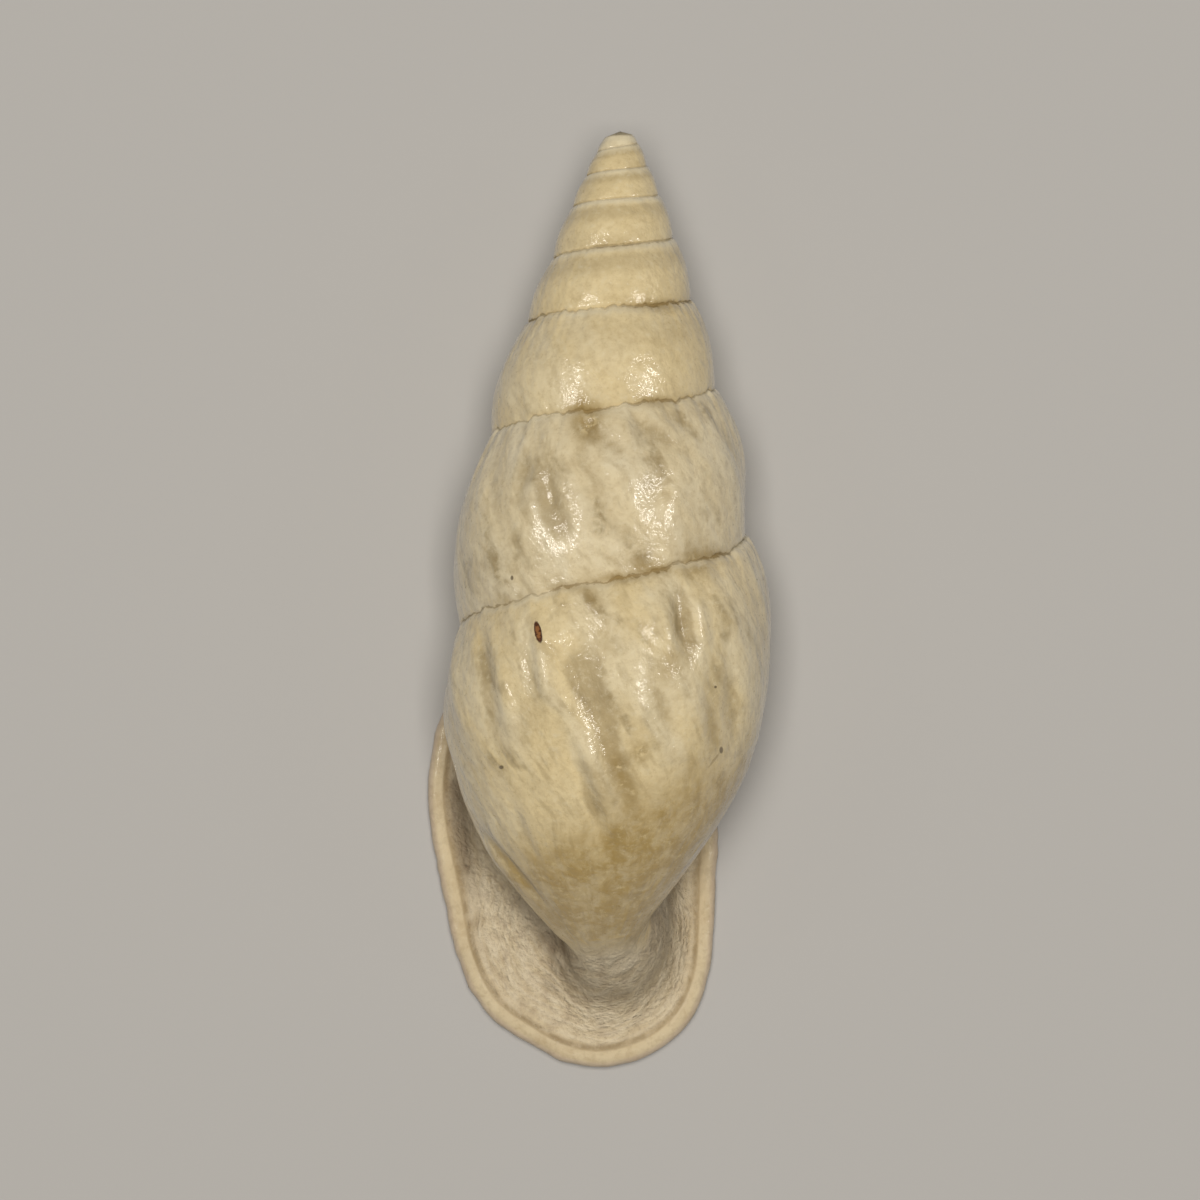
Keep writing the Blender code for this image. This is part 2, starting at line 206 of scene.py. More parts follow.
def groove(turn, v, height):
    """The narrow groove at the suture, with the ragged upper margin of the whorl below it."""
    size = ease((turn + 200.0) / 1500.0)
    wide = 0.05 + 0.06 * size
    deep = 0.03 + 0.09 * size
    t = np.radians(turn)
    ragged = 1.0 + 0.35 * np.sin(23.0 * t + 1.0) + 0.25 * np.sin(41.0 * t)
    below = np.exp(-(v * height / wide) ** 2)
    above = np.exp(-((1.0 - v) * height / wide) ** 2)
    welt = WELT * np.exp(-((v * height - 2.2 * wide) / (1.2 * wide)) ** 2)
    return deep * (ragged * welt - below - above * (turn + 360.0 < BASE_FROM + 0.01))


# Dents and swellings of the upper side: x, y, half length, half width, lean of the long way from
# the shell's length in degrees, and height outwards before DENT_SCALE
DENT_SCALE = 2.4
DENT_AXIS_X = 0.4       # dents are pressed towards this line along the shell
DENTS = [
    (-2.70, 5.10, 1.75, 0.62, 12.0, -0.16), (-1.75, 3.9, 0.7, 0.45, 20.0, -0.07),
    (2.85, 5.55, 1.25, 0.75, 20.0, -0.13), (3.9, 5.2, 0.8, 0.35, -25.0, 0.07),
    (0.9, 8.0, 1.7, 0.38, 62.0, -0.13), (2.9, 8.75, 1.6, 0.34, 58.0, -0.12),
    (4.6, 9.1, 1.6, 0.30, 50.0, -0.10), (-3.9, 6.8, 1.7, 0.40, -12.0, -0.09),
    (-0.55, 9.1, 0.45, 0.40, 0.0, -0.12),
    (-0.3, -5.6, 2.3, 0.62, 22.0, -0.13), (0.75, -8.6, 2.2, 0.50, 17.0, -0.10),
    (0.0, -9.6, 3.4, 0.42, 22.0, 0.13), (-0.35, -10.9, 2.3, 0.30, 21.0, -0.10),
    (1.75, -1.35, 1.25, 1.0, 30.0, 0.12), (0.95, -2.4, 0.5, 0.9, -55.0, -0.10),
    (4.45, -1.3, 1.7, 0.45, 10.0, -0.17), (3.55, -1.4, 1.5, 0.35, 10.0, 0.10),
    (5.3, -1.2, 1.7, 0.40, 14.0, 0.10),
    (-3.0, -2.9, 2.6, 0.42, 8.0, 0.10), (-3.75, -2.6, 2.4, 0.36, 8.0, -0.09),
    (-1.9, -2.1, 1.1, 0.9, 0.0, 0.06), (-1.0, -3.9, 1.4, 0.8, 25.0, -0.07),
    (-5.9, -4.5, 3.0, 0.40, 9.0, -0.10), (-4.9, -5.5, 2.4, 0.34, 12.0, 0.06),
    (-4.85, -13.95, 2.8, 0.18, 41.0, -0.12), (-5.15, -14.3, 2.8, 0.2, 41.0, 0.11),
    (1.5, -15.5, 0.26, 0.24, 0.0, 0.06), (2.0, -15.9, 1.2, 0.2, 30.0, -0.05),
    (2.1, -6.3, 2.2, 0.55, 24.0, 0.08), (3.4, -5.9, 2.0, 0.5, 18.0, -0.08),
    (-4.1, -12.0, 1.6, 0.24, 24.0, -0.07), (5.9, -5.5, 2.6, 0.45, 2.0, -0.08),
    (6.9, -5.2, 2.6, 0.40, 0.0, -0.07), (2.3, -11.9, 2.3, 0.4, 16.0, -0.05),
]


def oval(row, x, y):
    """One soft oval mark at x and y, full in its middle and fading to nothing."""
    cx, cy, long, wide, lean, full = row
    a = radians(lean)
    along = (y - cy) * np.cos(a) - (x - cx) * np.sin(a)
    across = (x - cx) * np.cos(a) + (y - cy) * np.sin(a)
    return full * np.exp(-(along / long) ** 2 - (across / wide) ** 2)


def ovals(rows, x, y):
    """The sum of soft oval marks at x and y."""
    return sum(oval(row, x, y) for row in rows)


def dents(x, y, z):
    """The marks of DENTS, on the side that faces up alone."""
    return DENT_SCALE * ovals(DENTS, x, y) * ease((z - AXIS_HEIGHT + 0.4) / 1.8)


def new_object(name, verts, faces):
    """An object from points in millimetres."""
    mesh = bpy.data.meshes.new(name)
    mesh.from_pydata(np.asarray(verts, float) * 0.001, [], faces)
    bm = bmesh.new()
    bm.from_mesh(mesh)
    bmesh.ops.remove_doubles(bm, verts=bm.verts, dist=1e-8)
    bmesh.ops.triangulate(bm, faces=[f for f in bm.faces if len(f.verts) > 4])
    bmesh.ops.recalc_face_normals(bm, faces=bm.faces)
    bm.to_mesh(mesh)
    bm.free()
    obj = bpy.data.objects.new(name, mesh)
    bpy.context.scene.collection.objects.link(obj)
    return obj


def wound_wall():
    """The strip as one closed solid with a flat end where the last whorl stops."""
    step = 360.0 / STEPS
    count = round((LAST_TURN - FIRST_TURN) / step)
    turns = FIRST_TURN + step * np.arange(count + 1)
    s = np.linspace(0.0, 1.0, SIDE_ROWS + 1)
    v = EVEN_ROWS * s + (1.0 - EVEN_ROWS) * (0.5 - 0.5 * np.cos(np.pi * s))
    t, share = np.meshgrid(turns, v, indexing="ij")
    depth, radius = side_of(t, share)
    height = suture(t + 360.0)[0] - suture(t)[0]
    radius = radius + folds(t, share) + groove(t, share, height)
    side = place(t, depth, radius)

    first_base = count - STEPS
    tb, q = np.meshgrid(turns[first_base:], np.linspace(0.0, 1.0, BASE_ROWS + 1)[1:], indexing="ij")
    base = place(tb, *base_of(tb, q))
    grown = base_grown(turns[first_base:])
    necks = [place(turns[first_base:], neck_depth, thin + (full - thin) * grown)
             for thin, (neck_depth, full) in zip(PILLAR_RADIUS, NECK)]
    base = np.concatenate((base, np.stack(necks, axis=1)), axis=1)

    # the rows of the side's last turn and its base form one strip, and the suture rows are shared
    rows = SIDE_ROWS + 1
    verts = list(side.reshape(-1, 3))
    side_index = np.arange((count + 1) * rows).reshape(count + 1, rows)
    for i in range(count + 1 - STEPS):
        side_index[i, -1] = side_index[i + STEPS, 0]
    base_index = len(verts) + np.arange(base.shape[0] * base.shape[1]).reshape(base.shape[:2])
    verts += list(base.reshape(-1, 3))
    apex = len(verts)
    verts.append(place(0.0, 0.0, 0.0))
    pole = len(verts)
    verts.append(place(0.0, NECK_END_DEPTH, 0.0))

    faces = []
    for grid in (side_index, np.concatenate((side_index[first_base:, -1:], base_index), axis=1)):
        a, b, c, d = grid[:-1, :-1], grid[:-1, 1:], grid[1:, 1:], grid[1:, :-1]
        faces += np.stack((a, b, c, d), axis=-1).reshape(-1, 4).tolist()
    for i in range(STEPS):
        faces.append((int(base_index[i, -1]), pole, int(base_index[i + 1, -1])))
        faces.append((apex, int(side_index[i, 0]), int(side_index[i + 1, 0])))
    faces.append((apex, *side_index[0, ::-1].tolist()))
    inner = [int(side_index[first_base, -1]), *base_index[0].tolist()]
    outer = [*side_index[-1].tolist(), *base_index[-1].tolist()]
    faces.append((*outer, pole, *reversed(inner[1:])))
    used = sorted({i for f in faces for i in f})
    renumber = {old: new for new, old in enumerate(used)}
    faces = [[renumber[i] for i in f] for f in faces]
    points = np.array([verts[i] for i in used])
    outwards = np.stack((points[:, 0] - DENT_AXIS_X, np.zeros(len(points)),
                         points[:, 2] - AXIS_HEIGHT), axis=1)
    outwards /= np.maximum(np.linalg.norm(outwards, axis=1), 1e-6)[:, None]
    points += outwards * dents(*points.T)[:, None]
    return new_object("wound_wall", points, faces)


shell = wound_wall()

# The flared lip. When the snail stops growing it turns the edge of the wall outwards, thickens
# and rolls it, so a wide trough runs between the rolled edge and the last whorl.
LIP_CENTRE = (-1.5, -14.0)
# three outlines seen from above: the rolled edge, the trough's inner foot, and the hidden root
LIP_EDGE = [(-8.42, -5.91), (-9.18, -8.47), (-9.35, -10.2), (-9.07, -13.3), (-8.37, -16.8),
            (-7.44, -20.3), (-6.19, -22.5), (-3.84, -24.2), (-1.83, -25.2), (0.0, -25.5),
            (1.93, -25.15), (3.6, -24.3), (5.0, -22.9), (5.8, -21.1), (6.19, -18.6), (6.35, -15.3),
            (6.46, -12.5), (6.0, -10.1), (4.9, -7.9), (2.7, -5.9), (-0.5, -4.3), (-3.8, -3.2),
            (-6.5, -3.8)]
LIP_WAIST = [(-7.55, -6.5), (-7.4, -8.8), (-7.0, -10.9), (-6.3, -13.2), (-4.75, -15.3),
             (-3.15, -16.7), (-1.95, -17.8), (-1.65, -19.5), (-0.75, -20.9), (0.5, -21.4),
             (2.1, -21.0), (3.3, -19.7), (3.7, -17.9), (3.6, -15.8), (3.0, -13.1),
             (1.65, -9.8), (-1.0, -6.6), (-4.3, -4.6), (-6.6, -4.7)]
LIP_ROOT = [(-7.75, -6.2), (-7.5, -8.6), (-6.85, -11.0), (-5.8, -12.8), (-4.1, -14.3),
            (-2.6, -15.8), (-1.6, -16.9), (-0.95, -18.5), (0.25, -18.8), (1.3, -18.4),
            (1.95, -17.4), (2.15, -15.5), (1.85, -12.6), (1.1, -9.2), (-1.0, -6.6),
            (-4.3, -5.9), (-6.9, -5.4)]
WAIST_HEIGHT = 4.4
ROOT_HEIGHT = 7.9
# the rolled edge, ring by ring: how far in from the lip's edge, and how high
RIM_IN = [0.45, 0.26, 0.12, 0.03, 0.0, 0.03, 0.15, 0.30, 0.45, 0.62, 0.78, 0.90, 1.02]
RIM_UP = [0.0, 0.06, 0.20, 0.42, 0.70, 0.95, 1.14, 1.25, 1.30, 1.31, 1.27, 1.14, 1.00]
LIP_SIDES = 224
TROUGH_ROWS = 16
ROOT_ROWS = 9


def outline(points, centre, sides):
    """Points of a closed outline at even angles about a centre, clockwise from the left."""
    angles, reach = polar(points, centre)
    a = 360.0 * np.arange(sides) / sides
    r = through(angles, reach, a)
    return np.stack((centre[0] - r * np.cos(np.radians(a)),
                     centre[1] - r * np.sin(np.radians(a))), axis=1)


def polar(points, centre):
    """Angles and reaches of an outline about a centre, wrapped round at both ends."""
    offsets = np.asarray(points) - centre
    angles = np.degrees(np.arctan2(-offsets[:, 1], -offsets[:, 0])) % 360.0
    order = np.argsort(angles)
    angles = angles[order]
    reach = np.hypot(*offsets[order].T)
    return (np.concatenate((angles[-3:] - 360.0, angles, angles[:3] + 360.0)),
            np.concatenate((reach[-3:], reach, reach[:3])))


def inset(ring, distance):
    """The same ring moved inwards along its own normals."""
    ahead = np.roll(ring, -1, axis=0) - np.roll(ring, 1, axis=0)
    normal = np.stack((-ahead[:, 1], ahead[:, 0]), axis=1)
    normal /= np.linalg.norm(normal, axis=1)[:, None]
    return ring + normal * np.reshape(distance, (-1, 1))


def level(ring, height):
    """The ring's points at a height."""
    return np.column_stack((ring, np.broadcast_to(height, len(ring))))


def lofted(name, rings):
    """A closed solid through rings with the same number of points."""
    sides = len(rings[0])
    verts = np.concatenate(rings)
    index = np.arange(len(verts)).reshape(len(rings), sides)
    ahead = np.roll(index, -1, axis=1)
    faces = np.stack((index[:-1], ahead[:-1], ahead[1:], index[1:]), axis=-1).reshape(-1, 4).tolist()
    return new_object(name, verts, [*faces, index[0].tolist(), index[-1].tolist()])


# Hollows and low ridges of the trough: x, y, half length, half width, lean, and height
TROUGH_MARKS = [(-2.0, -19.9, 1.1, 0.24, 28.0, 0.55), (-2.9, -18.3, 1.2, 0.55, 38.0, -0.35),
                (3.2, -16.8, 2.2, 0.35, -14.0, 0.25), (4.2, -16.0, 2.6, 0.3, -12.0, -0.2)]


def flared_lip():
    """Flat face, rolled edge, trough and a root inside the last whorl."""
    edge = outline(LIP_EDGE, LIP_CENTRE, LIP_SIDES)
    waist = outline(LIP_WAIST, LIP_CENTRE, LIP_SIDES)
    root = outline(LIP_ROOT, LIP_CENTRE, LIP_SIDES)
    a = 2 * np.pi * np.arange(LIP_SIDES) / LIP_SIDES
    patchy = 0.5 + 0.5 * np.sin(3 * a + 2.2) * np.sin(5 * a + 0.4)
    wavy = patchy * (0.035 * np.sin(19 * a + 0.5) + 0.03 * np.sin(31 * a + 2.0)
                     + 0.02 * np.sin(53 * a))
    lifted = patchy * (0.05 * np.sin(11 * a + 1.0) + 0.03 * np.sin(23 * a + 0.3))
    rings = []
    for k, (inwards, height) in enumerate(zip(RIM_IN, RIM_UP)):
        up = height + lifted * ease(height / 1.2)
        rings.append(level(inset(edge, inwards + 0.02 + wavy * (1.0 if k > 1 else 0.4)), up))
    groove_line = rings[-1][:, :2]
    start = rings[-1][:, 2]
    for k in range(TROUGH_ROWS - 1, -1, -1):
        angle = radians(90.0 * k / TROUGH_ROWS)
        out = 1.0 - np.cos(angle)
        height = WAIST_HEIGHT - (WAIST_HEIGHT - start) * np.sin(angle)
        rings.append(level(waist + (groove_line - waist) * out, height))
    for k in range(1, ROOT_ROWS + 1):
        share = k / ROOT_ROWS
        rings.append(level(waist + (root - waist) * ease(share),
                           WAIST_HEIGHT + (ROOT_HEIGHT - WAIST_HEIGHT) * share))
    for ring in rings[len(RIM_IN):]:
        ring[:, 2] += ovals(TROUGH_MARKS, ring[:, 0], ring[:, 1])
    return lofted("flared_lip", rings)


lip = flared_lip()

# The hollow that the animal lived in: the mouth in the lip's flat face, the throat, and one tube
# that follows the turns up to where they are too narrow to stay open.
MOUTH = [(-6.2, -9.0), (-6.2, -11.5), (-6.0, -14.0), (-5.4, -16.6), (-4.4, -18.9),
         (-3.0, -20.6), (-1.4, -21.6), (0.3, -21.7), (1.65, -20.7), (2.4, -18.6),
         (2.5, -15.9), (2.2, -13.4), (1.2, -10.9), (-0.6, -9.0), (-2.9, -7.6), (-4.9, -7.4)]
THROAT = [(-6.6, -7.9), (-6.2, -10.3), (-5.1, -12.2), (-3.8, -13.7), (-2.7, -15.0),
          (-1.65, -16.5), (-0.9, -18.0), (0.4, -18.8), (1.1, -17.8), (1.2, -15.1),
          (0.7, -12.4), (-0.5, -9.8), (-2.2, -7.9), (-4.3, -6.4), (-5.9, -6.2)]
MOUTH_CENTRE = (-2.2, -14.5)
THROAT_CENTRE = (-2.0, -12.9)
WALL = 0.75             # thickness of the outer wall of a grown whorl
PILLAR = 1.15           # radius of the pillar that the turns wind round
HOLLOW_FROM = 330.0     # the turn where the hollow begins
SEPTUM_SLOPE = 0.6      # how steeply the floors between turns fall outwards
SEPTUM_HALF = 0.6       # half their thickness, as a share of the wall's
BASE_EXTRA = 0.3        # what the base is thicker than the wall
LAST_WIDTH = 8.45       # radius that the hollow of the last whorl keeps to
SECTION_ROWS = 24
WIDEST_ROW = 16         # below this row the last whorl's side turns in
HOLLOW_STEP = 6.0
HOLLOW_SIDES = 48
MOUTH_LEVELS = (-0.6, -0.02, 0.04, 0.12, 0.22, 0.35, 0.52, 0.72, 0.95)
MOUTH_FLARE = 0.98      # how far the mouth's rounded edge opens at the flat face
MOUTH_BELOW = 1.1       # and how wide the cutter is below it
THROAT_LEVELS = ((1.15, 0.35), (1.4, 0.65), (1.8, 0.85), (2.4, 0.97), (3.4, 1.0), (4.4, 1.0))


def hollow_section(turn):
    """The hollow across one turn, between the floor of the turn above and its own floor."""
    d_up, r_up = suture(turn)
    d_low, r_low = suture(turn + 360.0)
    side_d, side_r = side_of(turn, np.linspace(0.0, 1.0, SECTION_ROWS + 1))
    wall = min(WALL, 0.16 * r_up + 0.1)
    pillar = min(PILLAR, 0.2 * r_up)
    last = turn >= BASE_FROM
    widest = LAST_WIDTH if last else side_r.max()
    a = 2 * np.pi * np.arange(HOLLOW_SIDES) / HOLLOW_SIDES
    r = (widest - wall + pillar) / 2 + (widest - wall - pillar) / 2 * np.cos(a)
    roof = d_up + SEPTUM_SLOPE * (r_up - r) + wall * SEPTUM_HALF
    floor = d_low + SEPTUM_SLOPE * (r_low - r) - wall * SEPTUM_HALF
    if last:
        base_d, base_r = base_of(turn, np.arange(1, SECTION_ROWS + 1) / SECTION_ROWS)
        floor = np.interp(-(r + wall), -np.concatenate((side_r[WIDEST_ROW:], base_r)),
                          np.concatenate((side_d[WIDEST_ROW:], base_d))) - BASE_EXTRA
    return place(turn, (roof + floor) / 2 + (floor - roof) / 2 * np.sin(a), r)


def living_hollow():
    """The cutter for the hollow."""
    mouth = outline(MOUTH, MOUTH_CENTRE, HOLLOW_SIDES)
    throat = outline(THROAT, THROAT_CENTRE, HOLLOW_SIDES)
    rings = []
    for height in MOUTH_LEVELS:
        out = MOUTH_FLARE * (1.0 - max(height, 0.0) / MOUTH_LEVELS[-1]) ** 2
        rings.append(level(inset(mouth, -out if height > MOUTH_LEVELS[0] else -MOUTH_BELOW), height))
    for height, share in THROAT_LEVELS:
        rings.append(level(mouth + (throat - mouth) * share, height))
    turn = THROAT_TURN
    start = hollow_section(turn)
    for share in (0.2, 0.4, 0.6, 0.8):
        height = WAIST_HEIGHT + (AXIS_HEIGHT - WAIST_HEIGHT) * share
        rings.append(level(throat + (start[:, :2] - throat) * ease(share), height))
    while turn >= HOLLOW_FROM:
        rings.append(hollow_section(turn))
        turn -= HOLLOW_STEP
    return lofted("living_hollow", rings)


hollow = living_hollow()

# The teeth: five low white ridges that narrow the mouth, grown on the inside of the lip. Each has
# its name, middle, half sizes and lean.
TEETH = [("parietal", (-3.0, -8.1, 1.9), (0.62, 1.35, 1.5), -30.0),
         ("columellar", (2.1, -15.4, 1.7), (1.70, 0.66, 1.1), 20.0),
         ("upper_palatal", (-5.9, -11.6, 1.7), (1.15, 0.56, 1.0), 8.0),
         ("lower_palatal", (-4.95, -16.1, 1.0), (1.05, 0.52, 0.6), -22.0),
         ("basal", (-1.1, -20.8, 1.2), (0.52, 1.10, 0.55), -8.0)]
bpy.ops.object.select_all(action="DESELECT")
for tooth_name, tooth_centre, tooth_half, tooth_lean in TEETH:
    bpy.ops.mesh.primitive_ico_sphere_add(
        subdivisions=4, radius=0.001, location=Vector(tooth_centre) * 0.001,
        rotation=(0.0, 0.0, radians(tooth_lean)), scale=tooth_half)
    bpy.context.object.name = tooth_name
for tooth_row in TEETH:
    bpy.data.objects[tooth_row[0]].select_set(True)
bpy.ops.object.transform_apply(location=True, rotation=True, scale=True)
bpy.ops.object.join()
teeth = bpy.context.object
teeth.name = "teeth"

# The grown shell: wall, lip, hollow and teeth as one piece. Slot numbers mark which of them each
# face comes from until its surface is painted.
FROM_WALL, FROM_LIP, FROM_HOLLOW, FROM_TEETH = range(4)
for number, solid in enumerate((shell, lip, hollow, teeth)):
    for slot_name in ("from_wall", "from_lip", "from_hollow", "from_teeth"):
        mark = bpy.data.materials.get(slot_name) or bpy.data.materials.new(slot_name)
        solid.data.materials.append(mark)
    solid.data.polygons.foreach_set("material_index", [number] * len(solid.data.polygons))
for solid, operation in ((lip, "UNION"), (hollow, "DIFFERENCE"), (teeth, "UNION")):
    join = shell.modifiers.new(solid.name, "BOOLEAN")
    join.operation = operation
    join.solver = "MANIFOLD"
    join.object = solid
    bpy.ops.object.select_all(action="DESELECT")
    bpy.context.view_layer.objects.active = shell
    shell.select_set(True)
    bpy.ops.object.modifier_apply(modifier=join.name)
    bpy.data.objects.remove(solid)

# At the neck the wall runs on into the back of the lip, so the join between them is eased there.
# The upper side is eased for some way about the seam, and all over a patch at the neck's end.
SEAM_ENDS_Y = -0.0165   # these three are in metres, as the mesh now is
EASED_BELOW_Y = -0.0155
EASED_ABOVE_Z = 0.003
SEAM_REACH = 0.9
PATCH_AT = (0.9, -20.3)
PATCH_HALF = (2.4, 2.2)
NECK_PASSES = 70
PULL = 0.6
LEAST_SHARE = 0.02
surface = shell.data
joined = bmesh.new()
joined.from_mesh(surface)


def solids_at(vertex):
    """The numbers of the solids that meet at a vertex."""
    return {face.material_index for face in vertex.link_faces}


def distance_from(vertices):
    """A measure of how far, in millimetres, a vertex is from the nearest of these."""
    nearest = KDTree(len(vertices))
    for number, vertex in enumerate(vertices):
        nearest.insert(vertex.co, number)
    nearest.balance()
    return lambda vertex: nearest.find(vertex.co)[2] * 1000.0


def relax(easing, passes):
    """Each listed vertex drawn towards its neighbours by its own share, so many times over."""
    for _ in range(passes):
        moved = []
        for vertex, share in easing:
            around = [edge.other_vert(vertex).co for edge in vertex.link_edges]
            moved.append((vertex, vertex.co.lerp(sum(around, Vector()) / len(around), PULL * share)))
        for vertex, target in moved:
            vertex.co = target


from_seam = distance_from([v for v in joined.verts
                           if solids_at(v) >= {FROM_WALL, FROM_LIP} and v.co.y < SEAM_ENDS_Y])
easing = []
for vertex in joined.verts:
    if (vertex.co.y > EASED_BELOW_Y or vertex.co.z < EASED_ABOVE_Z
            or solids_at(vertex) - {FROM_WALL, FROM_LIP}):
        continue
    at_x, at_y = vertex.co.x * 1000.0, vertex.co.y * 1000.0
    in_patch = np.exp(-((at_x - PATCH_AT[0]) / PATCH_HALF[0]) ** 4
                      - ((at_y - PATCH_AT[1]) / PATCH_HALF[1]) ** 4)
    near = max(np.exp(-(from_seam(vertex) / SEAM_REACH) ** 2), in_patch)
    share = float(near * ease((at_x + 1.5) / 1.0))
    if share > LEAST_SHARE:
        easing.append((vertex, share))
relax(easing, NECK_PASSES)

# The teeth grow out of the wall, so their feet are eased into it, clear of the lip's flat face.
FOOT_REACH = 0.32
FOOT_PASSES = 16
CLEAR_OF_FACE = 0.0003  # in metres
from_feet = distance_from([v for v in joined.verts
                           if len(solids_at(v)) > 1 and FROM_TEETH in solids_at(v)])
feet = []
for vertex in joined.verts:
    if vertex.co.z < CLEAR_OF_FACE or not {FROM_HOLLOW, FROM_TEETH} & solids_at(vertex):
        continue
    share = float(np.exp(-(from_feet(vertex) / FOOT_REACH) ** 2))
    if share > LEAST_SHARE:
        feet.append((vertex, share))
relax(feet, FOOT_PASSES)
joined.to_mesh(surface)
joined.free()

# What each place on the surface is, for its finish: where it lies on the growing strip, whether
# it is the back of the lip, the rolled rim or the inside, and which stains and painted shade it has.
LIP_RUN_FROM = 200.0    # marks the lip's own run of growth lines, which goes in from its edge
LIP_RADIUS = 8.0        # turns the way round the lip into millimetres
FAR = 9.0               # stands for a place that has no suture near it
FLAT_FACE_TO = 0.02     # the lip's flat face is all that lies below this height


def read(rows, key, kind=float, width=1):
    """One value, or a few, of every row of the surface."""
    values = np.empty(len(rows) * width, kind)
    rows.foreach_get(key, values)
    return values.reshape(-1, width) if width > 1 else values


points = read(surface.vertices, "co", width=3) * 1000.0
edge_ends = read(surface.edges, "vertices", int, 2)
corner_vertex = read(surface.loops, "vertex_index", int)
face_size = read(surface.polygons, "loop_total", int)
face_centre = read(surface.polygons, "center", width=3) * 1000.0
came_from = read(surface.polygons, "material_index", int)
corner_face = np.repeat(np.arange(len(came_from)), face_size)


def about_axis(p):
    """Angle about the axis in degrees and depth below the tip of points."""
    depth = TIP_Y - p[:, 1]
    axis_x, axis_z = axis_at(depth)
    return np.degrees(np.arctan2(p[:, 2] - axis_z, p[:, 0] - axis_x)), depth


def on_strip(p, centre_of):
    """Turn, share down the side, and millimetres to the sutures above and below, of points."""
    angle_c, depth_c = about_axis(centre_of)
    turn = np.full(len(p), LAST_TURN)
    for lap in range(-2, 6):
        t = angle_c % 360.0 + 360.0 * lap
        above = suture(t)[0] + waver(t)
        turn = np.where((depth_c >= above) & (t <= LAST_TURN) & (t >= FIRST_TURN), t, turn)
    angle, depth = about_axis(p)
    turn = turn + (angle - angle_c + 180.0) % 360.0 - 180.0
    above = suture(turn)[0] + waver(turn)
    below = suture(turn + 360.0)[0] + waver(turn + 360.0)
    v = (depth - above) / np.maximum(below - above, 0.05)
    down = np.where(turn < BASE_FROM, below - depth, FAR)
    return turn, v, np.maximum(depth - above, 0.0), np.maximum(down, 0.0)


def rim_distance(p):
    """Millimetres from the lip's edge inwards, and round the lip from the left."""
    offset = p[:, :2] - LIP_CENTRE
    angle = np.degrees(np.arctan2(-offset[:, 1], -offset[:, 0])) % 360.0
    reach = through(*polar(LIP_EDGE, LIP_CENTRE), angle)
    return reach - np.hypot(*offset.T), (angle + 90.0) % 360.0


def soften(values, passes):
    """Rows of values on the vertices, evened out along the edges."""
    for _ in range(passes):
        gathered = values.copy()
        count = np.ones(len(values))
        for a, b in ((0, 1), (1, 0)):
            np.add.at(gathered, edge_ends[:, a], values[edge_ends[:, b]])
            np.add.at(count, edge_ends[:, a], 1.0)
        values = gathered / count[:, None]
    return values


def to_vertices(face_values):
    """The mean of the faces' values at each vertex."""
    gathered = np.bincount(corner_vertex, face_values[corner_face], len(points))
    return gathered / np.maximum(np.bincount(corner_vertex, minlength=len(points)), 1)


all_turns = np.arange(FIRST_TURN, LAST_TURN + 100.0, 2.0)
run = np.concatenate(((0.0,), np.cumsum(radians(2.0) * suture(all_turns)[1])[:-1]))
corner_points = points[corner_vertex]
turn, v, above, below = on_strip(corner_points, face_centre[corner_face])
along = np.interp(turn + SLANT * np.clip(v, 0.0, 1.3), all_turns, run)
growth = np.column_stack((along, above, below))
from_rim, round_lip = rim_distance(corner_points)
lip_growth = np.column_stack((from_rim + LIP_RUN_FROM, np.radians(round_lip) * LIP_RADIUS,
                              np.full(len(from_rim), FAR)))
off_wall = came_from[corner_face] != FROM_WALL
growth[off_wall] = lip_growth[off_wall]

x, y, z = points.T
from_rim = rim_distance(points)[0]
lip_share = to_vertices((came_from == FROM_LIP).astype(float))
inside = to_vertices((came_from >= FROM_HOLLOW).astype(float))
neck = ease((-18.0 - y) / 2.6) * (from_rim > 1.0)
lip_back = np.clip(np.maximum(lip_share, neck * (1.0 - inside)), 0.0, 1.0)
rim = lip_share * ease((1.12 - from_rim) / 0.22)
inside = np.maximum(inside, ease((0.5 - z) / 0.3) * (from_rim > 0.4))
on_face = z < FLAT_FACE_TO
skin = soften(np.column_stack((lip_back, rim, inside)), 2)
skin[on_face] = (1.0, 0.0, 1.0)

# Stains of the side that faces up: x, y, half length, half width, lean, strength
TAN_STAINS = [(1.00, -9.0, 1.3, 0.50, 22.0, 0.9), (2.15, -8.0, 0.55, 0.45, 0.0, 1.0),
              (4.9, -8.7, 0.9, 0.35, 0.0, 0.6), (3.6, -3.6, 1.0, 0.7, -20.0, 0.6),
              (1.6, -9.9, 1.2, 0.45, 15.0, 0.7), (5.1, 1.95, 1.0, 0.9, 30.0, 0.8),
              (0.1, -9.8, 1.2, 0.4, 20.0, 0.5), (-0.4, 0.2, 0.9, 0.6, 20.0, 0.5),
              (-0.55, 9.2, 0.9, 0.8, 0.0, 1.0), (5.9, -7.0, 1.4, 0.5, 5.0, 0.5),
              (0.2, -2.0, 1.2, 0.5, 10.0, 0.35), (-4.8, -13.9, 2.8, 0.15, 41.0, 0.6),
              (-0.9, 10.2, 0.9, 0.5, 10.0, 0.8), (2.3, 1.9, 0.35, 1.6, -12.0, 0.5)]
GREY_STAINS = [(-0.35, -5.1, 0.75, 0.75, 15.0, 0.9), (-3.9, -6.6, 1.5, 0.7, -20.0, 0.5),
               (0.9, -2.2, 0.5, 0.9, -50.0, 0.6), (-2.7, 5.1, 1.6, 0.6, 12.0, 0.5),
               (4.4, -1.2, 1.8, 0.45, 10.0, 0.6), (-6.4, -9.5, 1.5, 0.6, 10.0, 0.4),
               (1.2, 8.2, 1.8, 0.5, 60.0, 0.6), (3.0, 9.0, 1.5, 0.4, 58.0, 0.6)]
